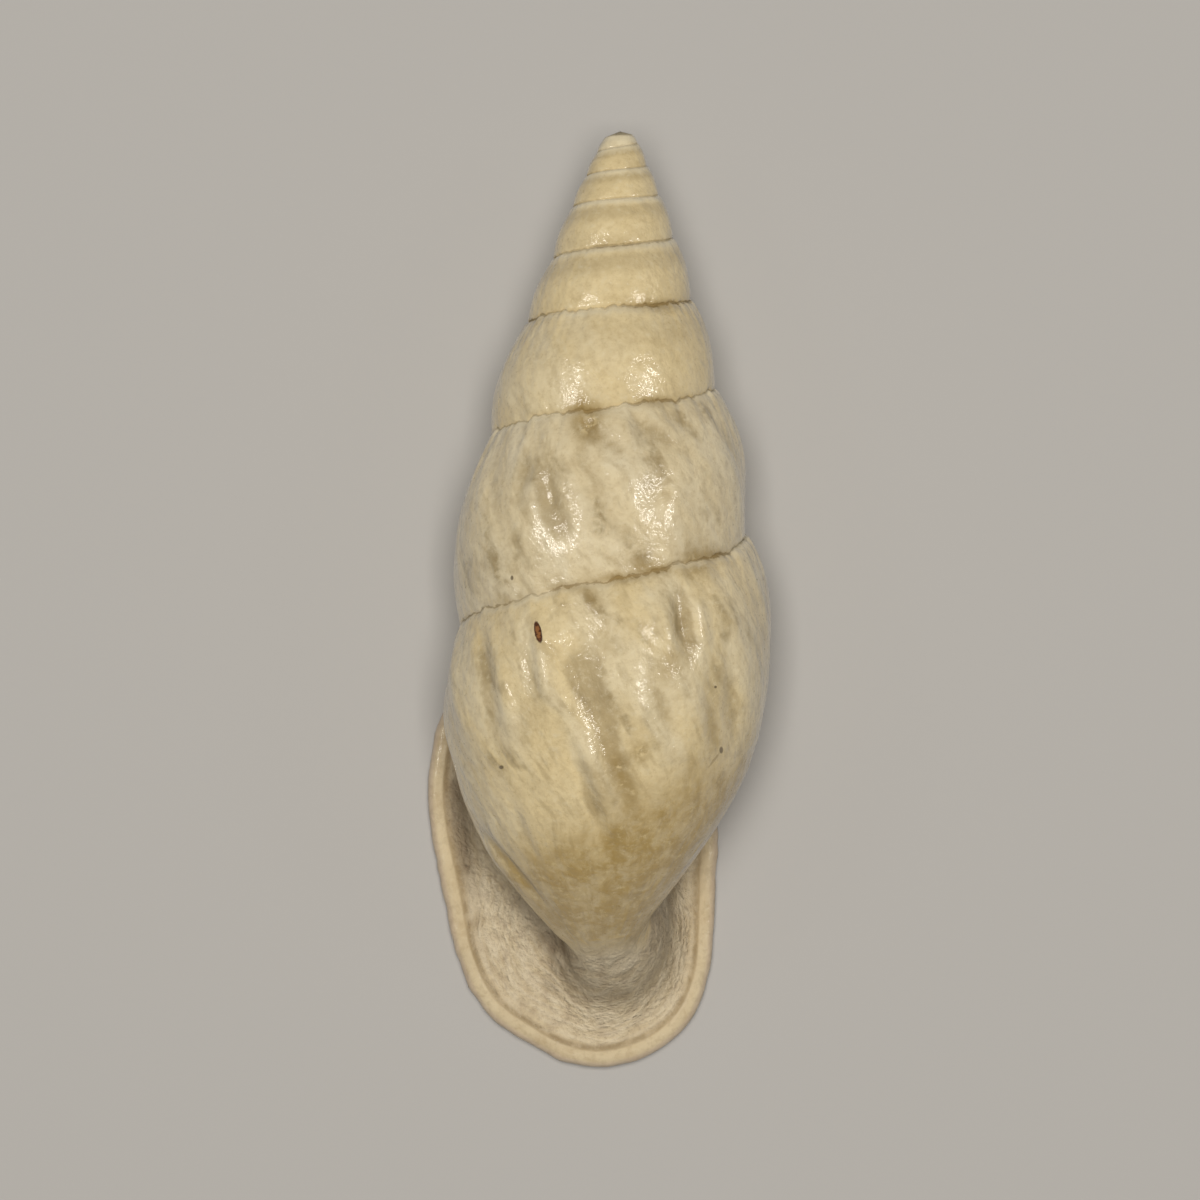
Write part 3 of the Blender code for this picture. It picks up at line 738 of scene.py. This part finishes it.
# Painted shade of the trough, dull and dark: beside the neck, under the last whorl's edge and along
# the left inside the rolled edge, with a weaker patch on the neck
TROUGH_PAINTED_SHADE = [(3.3, -16.6, 2.9, 0.9, -12.0, 0.9), (-2.5, -18.5, 2.2, 0.75, 26.0, 1.3),
                (-3.6, -17.0, 1.6, 0.7, 45.0, 0.8), (-2.6, -20.9, 0.8, 0.25, 35.0, 0.6),
                (4.6, -18.8, 2.5, 0.6, -10.0, 0.4), (0.6, -21.3, 0.5, 1.6, 0.0, 0.35),
                (-7.55, -12.4, 4.8, 0.6, 7.7, 1.3), (0.6, -19.3, 1.5, 1.7, 0.0, 0.28)]
# Where dirt has gathered in the suture
SUTURE_DIRT = [(2.9, 1.6, 0.5, 1.7, -12.0, 0.9), (-1.3, 0.5, 0.4, 1.2, -12.0, 0.7),
               (1.0, 1.1, 0.5, 1.6, -10.0, 1.0), (5.7, 2.5, 0.6, 1.1, -20.0, 1.0),
               (-0.7, 10.0, 0.6, 1.0, 0.0, 1.0), (2.9, 10.5, 0.5, 1.5, -10.0, 0.8),
               (3.3, 15.5, 0.6, 1.9, -10.0, 1.0), (-3.2, 14.6, 0.5, 1.2, -10.0, 0.6),
               (0.5, 19.0, 0.5, 2.0, -5.0, 0.5), (-5.6, 0.0, 0.6, 1.0, -25.0, 0.4)]


def stains(rows):
    """How strongly a list of stains marks each vertex."""
    clear = np.ones(len(points))
    for row in rows:
        clear *= 1.0 - oval(row, x, y)
    return (1.0 - clear) * ease((z - AXIS_HEIGHT) / 2.0)


base_tan = ease((-y - 7.0 + 0.45 * x) / 9.0) * (1.0 - ease((-17.4 - y) / 3.0))
# painted shade of the trough, in its recesses under the last whorl and beside the neck
painted_shade = np.clip(ovals(TROUGH_PAINTED_SHADE, x, y), 0.0, 1.0)
# the base's tan on the wall, and the trough's painted shade on the lip's back
base_tan_or_painted_shade = base_tan * (1.0 - skin[:, 0]) + painted_shade * skin[:, 0]
marks = np.column_stack((stains(TAN_STAINS), stains(GREY_STAINS), base_tan_or_painted_shade))


def keep(name, kind, domain, values):
    """The values as a named attribute of the shell's surface."""
    layer = surface.attributes.new(name, kind, domain)
    layer.data.foreach_set("vector" if kind == "FLOAT_VECTOR" else "value", np.ravel(values))


keep("growth", "FLOAT_VECTOR", "CORNER", growth)
# how far each place lies sunk in the folds and dents; the finish darkens these hollows as painted
# shade
sunk = -(folds(turn, v) + dents(*corner_points.T)) * ~off_wall
keep("whorl", "FLOAT_VECTOR", "CORNER", np.column_stack((turn / 360.0, v, 0.5 + 4.0 * sunk)))
keep("skin", "FLOAT_VECTOR", "POINT", skin)
keep("marks", "FLOAT_VECTOR", "POINT", marks)
keep("grime", "FLOAT", "POINT", np.clip(ovals(SUTURE_DIRT, x, y), 0.0, 1.0))


# Nodes of the finish. A value may be a number, a colour or another node's output.
def put(tree, kind, values=(), **settings):
    """A node with its settings and with its inputs set or joined."""
    node = tree.nodes.new(kind)
    for key, setting in settings.items():
        setattr(node, key, setting)
    for socket, value in dict(values).items():
        if isinstance(value, bpy.types.NodeSocket):
            tree.links.new(value, node.inputs[socket])
        elif value is not None:
            node.inputs[socket].default_value = value
    return node


def reckon(tree, operation, a, b=None, clamp=False):
    """One step of arithmetic."""
    return put(tree, "ShaderNodeMath", {0: a, 1: b}, operation=operation, use_clamp=clamp).outputs[0]


def growth_lines_group():
    """Lines along the growing edge: a noise drawn out down the whorl and fine across it."""
    group = bpy.data.node_groups.new("growth_lines", "ShaderNodeTree")
    for name, kind, value in (("Growth", "NodeSocketVector", None), ("Across", "NodeSocketFloat", 1.0),
                              ("Along", "NodeSocketFloat", 0.2), ("Waver", "NodeSocketFloat", 0.3),
                              ("Detail", "NodeSocketFloat", 2.0), ("Shift", "NodeSocketFloat", 0.0)):
        socket = group.interface.new_socket(name, in_out="INPUT", socket_type=kind)
        if value is not None:
            socket.default_value = value
    group.interface.new_socket("Value", in_out="OUTPUT", socket_type="NodeSocketFloat")
    start = group.nodes.new("NodeGroupInput").outputs
    end = group.nodes.new("NodeGroupOutput").inputs
    parts = put(group, "ShaderNodeSeparateXYZ", {0: start["Growth"]}).outputs
    bend = put(group, "ShaderNodeTexNoise", {"Vector": start["Growth"], "Scale": 0.35, "Detail": 1.0})
    strayed = reckon(group, "MULTIPLY", reckon(group, "SUBTRACT", bend.outputs["Fac"], 0.5),
                     start["Waver"])
    across = reckon(group, "MULTIPLY", reckon(group, "ADD", parts["X"], strayed), start["Across"])
    down = reckon(group, "MULTIPLY", parts["Y"], start["Along"])
    drawn_out = put(group, "ShaderNodeCombineXYZ", {"X": across, "Y": down, "Z": start["Shift"]})
    noise = put(group, "ShaderNodeTexNoise", {"Vector": drawn_out.outputs[0], "Scale": 1.0,
                                              "Detail": start["Detail"]})
    group.links.new(noise.outputs["Fac"], end["Value"])
    return group


GROWTH_LINES = growth_lines_group()
finish = bpy.data.materials.new("glossy_ivory_shell")
finish.use_nodes = True
tree = finish.node_tree
shader = tree.nodes["Principled BSDF"]


def times(a, b):
    """One value times another."""
    return reckon(tree, "MULTIPLY", a, b)


def plus(a, b):
    """The sum of two values."""
    return reckon(tree, "ADD", a, b)


def less(a, b):
    """One value less another."""
    return reckon(tree, "SUBTRACT", a, b)


def swing(noise, size):
    """A noise made to swing about 0, by so much."""
    return times(less(noise, 0.5), size)


def total(*parts):
    """The sum of pairs of a value and its size."""
    value = times(*parts[0])
    for part in parts[1:]:
        value = plus(value, times(*part))
    return value


def fade(value, low, high):
    """From 0 at low to 1 at high, with level ends."""
    node = put(tree, "ShaderNodeMapRange", {"Value": value, "From Min": low, "From Max": high},
               interpolation_type="SMOOTHSTEP")
    return node.outputs["Result"]


def tint(share, a, b):
    """Colour a giving way to colour b."""
    node = put(tree, "ShaderNodeMix", data_type="RGBA")
    for socket, value in ((node.inputs[0], share), (node.inputs[6], a), (node.inputs[7], b)):
        if isinstance(value, bpy.types.NodeSocket):
            tree.links.new(value, socket)
        else:
            socket.default_value = (*value, 1.0)
    return node.outputs[2]


def paint(ground, *coats):
    """A ground with thin coats over it, each with its place, its strength and its colour."""
    for where, strength, colour in coats:
        ground = tint(times(where, strength), ground, colour)
    return ground


def lines(across, along, waver=0.3, detail=2.0, shift=0.0):
    """Growth lines, so many to the millimetre across and along the growing edge."""
    return put(tree, "ShaderNodeGroup", {"Growth": grown_at, "Across": across, "Along": along,
                                         "Waver": waver, "Detail": detail, "Shift": shift},
               node_tree=GROWTH_LINES).outputs["Value"]


def grain(scale, detail=2.0, rough=0.5, distortion=0.0):
    """A plain noise on the shell, so many to the metre."""
    noise = put(tree, "ShaderNodeTexNoise", {"Vector": object_at, "Scale": scale, "Detail": detail,
                                             "Roughness": rough, "Distortion": distortion})
    return noise.outputs["Fac"]


def spot(centre, half, lean):
    """How far a place is from the middle of an oval mark, which has its edge at 1."""
    moved = put(tree, "ShaderNodeMapping", {
        "Vector": object_at, "Location": (centre[0] * 0.001, centre[1] * 0.001, 0.0),
        "Rotation": (0.0, 0.0, radians(lean)), "Scale": (half[0] * 0.001, half[1] * 0.001, 1000.0)},
        vector_type="TEXTURE")
    reach = put(tree, "ShaderNodeVectorMath", {0: moved.outputs[0]}, operation="LENGTH")
    return reach.outputs["Value"]


def kept(name, output="Vector"):
    """An attribute kept on the surface."""
    return put(tree, "ShaderNodeAttribute", attribute_name=name).outputs[output]


def three(vector):
    """The three parts of a vector."""
    return put(tree, "ShaderNodeSeparateXYZ", {0: vector}).outputs[:]


grown_at = kept("growth")
along_at, above_at, below_at = three(grown_at)
turn_at, down_at, sunk_at = three(kept("whorl"))
lip_at, rim_at, inside_at = three(kept("skin"))
tan_at, grey_at, base_tan_or_shade_at = three(kept("marks"))
grime_at = kept("grime", "Fac")
object_at = put(tree, "ShaderNodeTexCoord").outputs["Object"]
height_at = three(object_at)[2]
outside = less(1.0, inside_at)
upper_side = times(fade(height_at, 0.0085, 0.0095), outside)
late = fade(turn_at, 2.9, 3.6)
early = less(1.0, late)

mottle = grain(350.0, 3.0)
patchy = grain(850.0, 5.0, 0.68, 0.4)
speckle = grain(2600.0, 5.0, 0.7)
fine_grain = grain(5200.0, 2.0)
dull = fade(speckle, 0.54, 0.34)

# The wall's colour: cream, golden on the early whorls and chalky on the last but one, with streaks
# along the growth lines, grey and painted shade in the low places, golden brown on the base, stained,
# and pale-gold flakes with painted glints.
CREAM = (0.78, 0.645, 0.38)
PALE = (0.80, 0.71, 0.50)
UPPER = (0.75, 0.61, 0.345)
CHALK = (0.76, 0.685, 0.52)
GREY = (0.36, 0.275, 0.14)
STREAK = (0.31, 0.235, 0.115)
DULL = (0.40, 0.29, 0.14)
BUFF = (0.50, 0.385, 0.20)
TAN = (0.34, 0.235, 0.085)
GOLD = (0.42, 0.29, 0.10)
CRUMB = (0.70, 0.57, 0.30)
FLAKE_AND_GLINT = (0.86, 0.70, 0.39)
DIRT = (0.13, 0.085, 0.035)

band = times(fade(down_at, 0.10, 0.22), less(1.0, fade(down_at, 0.30, 0.55)))
under_suture = less(1.0, fade(down_at, 0.04, 0.14))
wide = lines(0.50, 0.13, 1.2, 3.0)
chalky = times(fade(turn_at, 3.7, 4.1), fade(turn_at, 5.3, 4.8))
broken = fade(lines(0.9, 0.45, 0.8, 2.0, 3.0), 0.40, 0.60)
streaks = times(times(fade(lines(0.62, 0.20, 1.5, 4.0, 7.0), 0.48, 0.68), broken),
                fade(patchy, 0.30, 0.62))
thin = fade(lines(1.7, 0.55, 0.8, 3.0, 11.0), 0.52, 0.68)
# the low places of the folds and dents: partly the wall's own grey, partly painted shade in these
# hollows
low_places_grey_and_shade = plus(plus(sunk_at, swing(broken, 0.25)), swing(patchy, 0.9))
gold = fade(plus(base_tan_or_shade_at, swing(wide, 0.9)), 0.18, 0.85)
gold_patch = plus(times(fade(patchy, 0.36, 0.60), 0.5), 0.45)
fleck = fade(lines(2.2, 1.0, 0.8, 4.0, 5.0), 0.56, 0.72)
# pale-gold flakes in the tan stains, painted bright both in their own colour and as painted glints
flakes_and_glints = times(fade(grain(1900.0, 2.0, 0.5, 0.3), 0.54, 0.62), fade(tan_at, 0.45, 0.9))

seam_noise = grain(2800.0, 5.0, 0.72)
seam_patch = reckon(tree, "MAXIMUM", grime_at, times(fade(grain(260.0, 2.0), 0.5, 0.7), 0.4))
seam_width = times(less(seam_noise, 0.34), plus(times(grime_at, 0.35), 0.24))
nearest_seam = reckon(tree, "MINIMUM", above_at, below_at)
seam = times(times(fade(less(nearest_seam, seam_width), 0.05, -0.03), outside),
             fade(height_at, 0.0005, 0.0012))
seam_dirt = plus(times(seam_patch, 0.5), 0.42)
worn = plus(times(fade(turn_at, -0.5, 2.6), 0.5), 0.5)
frill = fade(plus(above_at, times(seam_noise, 0.5)), 0.75, 0.35)
smudge = fade(less(nearest_seam, times(grain(1700.0, 5.0, 0.7), 1.5)), 0.1, -0.7)

wall = paint(
    tint(fade(mottle, 0.35, 0.65), UPPER, CREAM),
    (times(band, early), 0.35, GREY),
    (times(under_suture, early), 0.6, PALE),
    (times(fade(wide, 0.42, 0.62), late), 0.55, PALE),
    (chalky, 0.36, CHALK),
    (times(streaks, late), 0.9, STREAK),
    (times(thin, late), 0.30, GREY),
    (fade(turn_at, -1.1, -1.8), 0.8, PALE),
    # grey of the wall and painted shade in the low places
    (times(fade(low_places_grey_and_shade, 0.60, 1.45), late), 0.6, GREY),
    (times(grey_at, fade(patchy, 0.28, 0.60)), 0.6, GREY),
    (dull, 0.22, DULL),
    (fade(speckle, 0.52, 0.70), 0.35, PALE),
    (fade(patchy, 0.53, 0.38), 0.20, BUFF),
    (gold, gold_patch, GOLD),
    (times(fleck, gold), 0.30, TAN),
    (times(fade(speckle, 0.55, 0.68), gold), 0.5, CRUMB),
    (times(tan_at, fade(grain(1400.0, 5.0, 0.7), 0.25, 0.52)), 0.92, TAN),
    # painted glints on the flakes, over their own pale gold
    (flakes_and_glints, 0.45, FLAKE_AND_GLINT),
    (frill, 0.65, PALE),
    (seam, times(seam_dirt, worn), DIRT),
    (smudge, times(seam_patch, 0.75), TAN))

# The lip's colour: a wrinkled trough, mauve in its creases, with painted shade beside the neck and
# under the last whorl, a brown groove with painted shade inside the rolled edge, and the bare white of
# the face and the mouth.
BOWL = (0.67, 0.555, 0.365)
BOWL_SHADE_PAINT = (0.19, 0.14, 0.088)
BOWL_MAUVE = (0.36, 0.27, 0.18)
BOWL_PALE = (0.78, 0.68, 0.50)
GROOVE_BROWN_AND_SHADE = (0.25, 0.175, 0.085)
RIM_CREAM = (0.66, 0.55, 0.36)
RIM_BUFF = (0.62, 0.51, 0.33)
RIM_GROOVE_BROWN_AND_SHADE = (0.33, 0.235, 0.12)
RIM_BROWN = (0.46, 0.34, 0.19)
RIM_ROSY = (0.58, 0.45, 0.36)
RIM_DULL = (0.36, 0.27, 0.15)
PORCELAIN = (0.78, 0.70, 0.56)
PORCELAIN_BUFF = (0.72, 0.61, 0.44)

striae = lines(3.6, 0.55, 1.0, 3.0)
wrinkle = grain(3600.0, 4.0, 0.65)
crinkle = lines(1.9, 1.3, 1.6, 5.0, 9.0)
in_from_rim = less(along_at, LIP_RUN_FROM)
# the groove inside the rolled edge: brown, and darkened further as painted shade in the groove
rim_groove_brown_and_shade = times(fade(in_from_rim, 0.84, 1.00), fade(in_from_rim, 1.42, 1.1))
bowl = paint(
    BOWL,
    (fade(striae, 0.40, 0.62), 0.6, BOWL_PALE),
    (fade(wrinkle, 0.60, 0.30), 0.34, BOWL_MAUVE),
    (fade(crinkle, 0.54, 0.32), 0.36, BOWL_MAUVE),
    (fade(crinkle, 0.50, 0.68), 0.45, BOWL_PALE),
    # painted shade of the trough
    (base_tan_or_shade_at, 0.75, BOWL_SHADE_PAINT),
    (fade(grain(500.0, 2.0), 0.45, 0.65), 0.35, BOWL_PALE),
    # brown and painted shade in the groove inside the rolled edge
    (rim_groove_brown_and_shade, plus(times(fade(patchy, 0.4, 0.6), 0.45), 0.3), GROOVE_BROWN_AND_SHADE))
rim_colour = paint(
    tint(fade(mottle, 0.35, 0.65), RIM_CREAM, RIM_BUFF),
    # brown and painted shade where the rolled edge meets its groove
    (rim_groove_brown_and_shade, 0.6, RIM_GROOVE_BROWN_AND_SHADE),
    (fade(patchy, 0.52, 0.36), 0.35, RIM_BROWN),
    (fade(in_from_rim, 0.42, 0.18), 0.4, RIM_ROSY),
    (dull, 0.25, RIM_DULL))
porcelain = tint(fade(mottle, 0.35, 0.65), PORCELAIN, PORCELAIN_BUFF)
colour = tint(lip_at, wall, tint(rim_at, bowl, rim_colour))
colour = tint(inside_at, colour, porcelain)

# Small marks on the upper side: an amber chip, a short scratch and four dark specks.
AMBER = (0.30, 0.125, 0.04)
AMBER_DARK = (0.085, 0.028, 0.009)
SCRATCH = (0.24, 0.165, 0.07)
SPECK = (0.10, 0.07, 0.035)
SPECKS = (((-5.16, -8.83), (0.12, 0.10)), ((6.42, -7.94), (0.10, 0.18)),
          ((-4.6, 1.13), (0.08, 0.12)), ((6.1, -4.6), (0.07, 0.07)))
chip_reach = spot((-3.22, -1.70), (0.19, 0.60), 11.0)
chip = times(fade(plus(chip_reach, times(grain(3500.0, 2.0), 0.5)), 1.35, 1.1), upper_side)
chip_dark = reckon(tree, "ADD", fade(chip_reach, 0.45, 0.85), fade(grain(5000.0, 1.0), 0.5, 0.6),
                   clamp=True)
scratch = fade(plus(spot((6.05, -8.45), (0.08, 0.62), -38.0), times(speckle, 0.8)), 1.4, 0.9)
colour = tint(chip, colour, tint(chip_dark, AMBER, AMBER_DARK))
colour = paint(colour, (times(scratch, upper_side), 0.45, SCRATCH),
               *((times(fade(spot(centre, half, 0.0), 1.3, 0.7), upper_side), 0.8, SPECK)
                 for centre, half in SPECKS))
tree.links.new(colour, shader.inputs["Base Color"])

# Gloss and relief: the wall is glazed, the lip's trough is matt and wrinkled, and the rolled edge
# lies between the two.
COAT_ROUGHNESS = 0.10
RELIEF_HEIGHT = 0.00012
matt = times(times(lip_at, less(1.0, rim_at)), outside)
rough = reckon(tree, "ADD", total((matt, 0.38), (less(fine_grain, 0.5), 0.15), (rim_at, 0.14),
                                  (seam, 0.4)), 0.30, clamp=True)
gloss = reckon(tree, "ADD", total((matt, -0.74), (rim_at, -0.5)), 0.75, clamp=True)
tree.links.new(rough, shader.inputs["Roughness"])
tree.links.new(times(gloss, less(1.0, seam)), shader.inputs["Coat Weight"])
shader.inputs["Coat Roughness"].default_value = COAT_ROUGHNESS
fine_lines = lines(4.5, 0.25, 0.6, 3.0)
dimples = lines(0.9, 0.55, 1.2, 2.0)
wall_relief = total((fine_lines, 0.12), (dimples, 1.0))
lip_relief = total((striae, 0.9), (wrinkle, 1.5), (crinkle, 1.9))
grown_relief = put(tree, "ShaderNodeMix", {0: matt, 2: wall_relief, 3: lip_relief},
                   data_type="FLOAT").outputs[0]
relief = total((grown_relief, outside), (fine_grain, 0.03), (grain(1500.0, 3.0, 0.5), 0.48),
               (flakes_and_glints, 0.12), (patchy, 0.65), (chip, -0.5))
bump = put(tree, "ShaderNodeBump", {"Strength": 1.0, "Distance": RELIEF_HEIGHT, "Height": relief})
tree.links.new(bump.outputs[0], shader.inputs["Normal"])
tree.links.new(bump.outputs[0], shader.inputs["Coat Normal"])

# the finished shell: smooth all over but for the lip's flat face
surface.polygons.foreach_set("material_index", np.zeros(len(came_from), int))
surface.materials.clear()
surface.materials.append(finish)
faces_down = read(surface.polygons, "normal", width=3)[:, 2] < -0.9995
flat_face = faces_down & (face_centre[:, 2] < FLAT_FACE_TO)
surface.polygons.foreach_set("use_smooth", ~flat_face)
surface.update()
shell.name = "land_snail_shell"
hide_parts("shell")
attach(shell, "root")

# A plain pale floor and a soft lamp overhead. A small lamp on each side gives the glints alone.
FLOOR_GREY = (0.48, 0.47, 0.455, 1.0)
FLOOR_DROP = 0.00002
LAMP_WHITE = (1.0, 0.96, 0.90)
LAMPS = (("left_light", (-0.24, 0.07, 0.34), 0.062, 0.36),      # place, size and power
         ("right_light", (0.28, 0.05, 0.32), 0.062, 0.36),
         ("top_light", (0.0, 0.05, 0.80), 0.30, 5.8))
bpy.ops.mesh.primitive_plane_add(size=4.0, location=(0.0, 0.0, -FLOOR_DROP))
floor = bpy.context.object
floor.name = "floor"
paper = bpy.data.materials.new("pale_paper")
paper.use_nodes = True
paper_shader = paper.node_tree.nodes["Principled BSDF"]
paper_shader.inputs["Base Color"].default_value = FLOOR_GREY
paper_shader.inputs["Roughness"].default_value = 0.8
floor.data.materials.append(paper)
for lamp_name, lamp_at, size, power in LAMPS:
    lamp_data = bpy.data.lights.new(lamp_name, "AREA")
    lamp_data.size = size
    lamp_data.energy = power
    lamp_data.color = LAMP_WHITE
    lamp = bpy.data.objects.new(lamp_name, lamp_data)
    lamp.location = lamp_at
    lamp.visible_glossy = lamp_name != "top_light"
    lamp.visible_diffuse = lamp_name == "top_light"
    lamp.rotation_euler = (-Vector(lamp_at)).to_track_quat("-Z", "Y").to_euler()
    bpy.context.scene.collection.objects.link(lamp)
room = bpy.data.worlds.new("room")
bpy.context.scene.world = room
room.use_nodes = True
room.node_tree.nodes["Background"].inputs["Color"].default_value = (1.0, 0.98, 0.95, 1.0)
room.node_tree.nodes["Background"].inputs["Strength"].default_value = 0.07
bpy.context.scene.view_settings.view_transform = "Standard"
